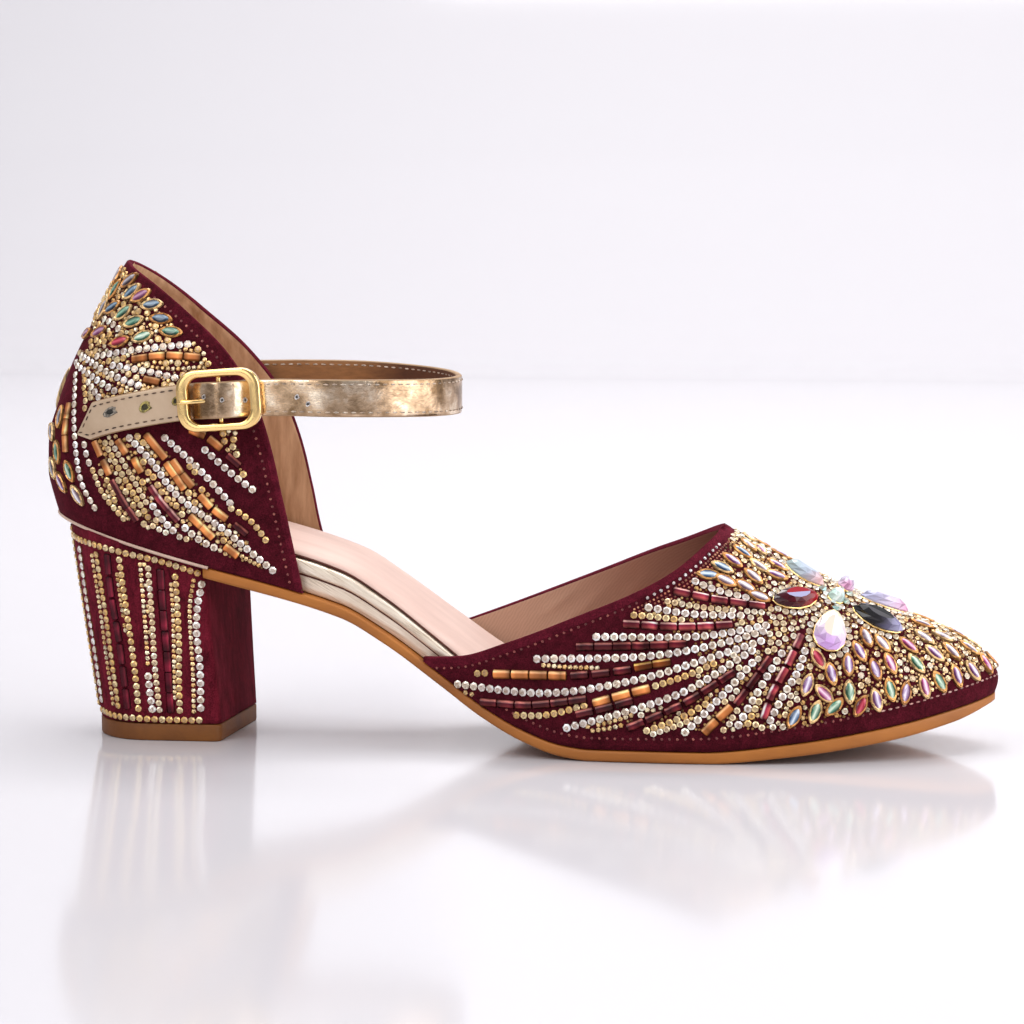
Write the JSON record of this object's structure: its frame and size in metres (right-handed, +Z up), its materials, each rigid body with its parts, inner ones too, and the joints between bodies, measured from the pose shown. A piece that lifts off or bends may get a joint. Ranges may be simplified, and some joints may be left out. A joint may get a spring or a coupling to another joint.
{
  "type": "block_heel_shoe",
  "caption": "Right-foot block-heel evening shoe in dark burgundy velvet, embroidered with strass and cut stones, with a gold buckled ankle strap",
  "frame": {"origin": "middle of the footprint on the floor plane", "axes": "X from heel to toe, Y to the medial side, Z up"},
  "size_m": [0.251, 0.076, 0.125],
  "materials": {
    "velvet": "matte",
    "sole_leather": "satin",
    "gold_leather": "satin",
    "pink_leather": "satin",
    "gold_metal": "polished",
    "garnet_stone": "polished",
    "pale_stone": "polished",
    "black_stone": "polished"
  },
  "bodies": {
    "root": {"outsole": "sole_leather", "heel_block": "velvet", "top_lift": "sole_leather", "insole_board": "gold_leather", "sock": "pink_leather", "vamp": "velvet", "quarter": "velvet", "ankle_strap": "gold_leather", "buckle_frame": "gold_metal", "buckle_prong": "gold_metal", "buckle_tab": "gold_leather", "flower_stone_1": "garnet_stone", "flower_stone_2": "pale_stone", "flower_stone_3": "pale_stone", "flower_stone_4": "pale_stone", "flower_stone_5": "black_stone", "flower_stone_6": "pale_stone", "flower_centre": "pale_stone"}
  },
  "joints": []
}
